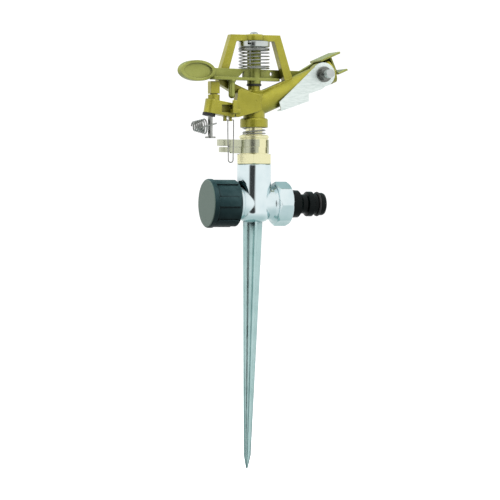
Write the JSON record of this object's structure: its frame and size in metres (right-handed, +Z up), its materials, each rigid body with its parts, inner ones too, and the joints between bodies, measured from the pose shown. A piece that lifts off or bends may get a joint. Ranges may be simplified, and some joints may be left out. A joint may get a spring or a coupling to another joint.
{
  "type": "impulse sprinkler",
  "caption": "Metal impulse sprinkler head with a swinging impact arm, deflector flap and part-circle trip, on a T body with a ribbed ground spike.",
  "frame": {"origin": "on the head's turning axis at the ground line, where the ground spike leaves the T body", "axes": "+Z up along the turning axis, +X out along the hose inlet, -Y towards the side with the deflector flap"},
  "size_m": [0.1335, 0.0407, 0.3097],
  "materials": {
    "chrome": "bright chromed zinc casting",
    "brass": "polished turned brass",
    "rubber": "smooth black rubber",
    "black_plastic": "moulded black plastic, slightly glossy",
    "cap_plastic": "moulded dark grey plastic with a fine grain",
    "screen_steel": "stainless strainer",
    "collar_steel": "nickel-plated spring strip, yellowish",
    "bronze_paint": "bronze metallic paint on a die casting",
    "arm_paint": "bronze metallic paint on a die casting",
    "spring_steel": "stainless spring wire",
    "bright_plate": "bright zinc plate",
    "dark_steel": "dark nickel plate",
    "flap_zinc": "bright rolled sheet"
  },
  "bodies": {
    "base": {"spike_body": "chrome", "bearing_nipple": "brass", "nipple_seal": "rubber", "hose_adapter": "black_plastic", "adapter_oring": "rubber", "filter_screen": "screen_steel"},
    "cap_slider": {"cap_washer": "rubber"},
    "cap": {"end_cap": "cap_plastic"},
    "lower_collar": {"lower_collar": "collar_steel"},
    "upper_collar": {"upper_collar": "collar_steel"},
    "head": {"head_casting": "bronze_paint", "bearing_tube": "brass", "bearing_washer": "brass", "bearing_spring": "spring_steel", "nozzle": "brass", "fulcrum_pin": "spring_steel", "pin_cap": "bright_plate", "spring_cup": "bright_plate", "arm_washer": "rubber", "flap_bolt": "bright_plate", "flap_washers": "dark_steel", "flap_nut": "dark_steel", "trip_pin": "spring_steel", "drive_spring": "spring_steel"},
    "arm": {"swing_arm": "arm_paint", "arm_bush": "brass"},
    "trip": {"trip_lever": "bronze_paint", "trip_buffer": "rubber", "trip_stud": "spring_steel", "trip_spring": "spring_steel"},
    "trip_wire": {"trip_wire": "spring_steel"},
    "flap": {"deflector_flap": "flap_zinc"}
  },
  "joints": [
    {"name": "head_turn", "type": "hinge", "parent": "base", "child": "head", "pos_m": [0, 0, 0.06], "axis": [0, 0, 1], "range_deg": [0, 270]},
    {"name": "arm_swing", "type": "hinge", "parent": "head", "child": "arm", "pos_m": [0, 0, 0.105], "axis": [0, 0, 1], "range_deg": [0, 85], "stiffness_Nm_per_rad": 0.02, "deforming": ["drive_spring"]},
    {"name": "trip_flip", "type": "hinge", "parent": "head", "child": "trip", "pos_m": [-0.0182, -0.006, 0.0783], "axis": [-0.9848, 0, 0.1736], "range_deg": [0, 20]},
    {"name": "trip_wire_fold", "type": "hinge", "parent": "trip", "child": "trip_wire", "pos_m": [-0.02, -0.006, 0.0719], "axis": [-1, 0, 0], "range_deg": [0, 100]},
    {"name": "upper_collar_turn", "type": "hinge", "parent": "base", "child": "upper_collar", "pos_m": [0, 0, 0.0557], "axis": [0, 0, 1], "range_deg": [-60, 0]},
    {"name": "lower_collar_turn", "type": "hinge", "parent": "base", "child": "lower_collar", "pos_m": [0, 0, 0.0508], "axis": [0, 0, 1], "range_deg": [-40, 0]},
    {"name": "flap_swing", "type": "hinge", "parent": "head", "child": "flap", "pos_m": [0.0498, -0.0091, 0.1053], "axis": [0, -1, 0], "range_deg": [0, 160]},
    {"name": "cap_travel", "type": "slide", "parent": "base", "child": "cap_slider", "axis": [-1, 0, 0], "range_m": [0, 0.0164]},
    {"name": "cap_turn", "type": "hinge", "parent": "cap_slider", "child": "cap", "pos_m": [-0.02, 0, 0.013], "axis": [-1, 0, 0], "range_deg": [0, 3240]}
  ],
  "couplings": [
    {"joint": "cap_travel", "follows": "cap_turn", "m_per_rad": 0.00028871}
  ]
}
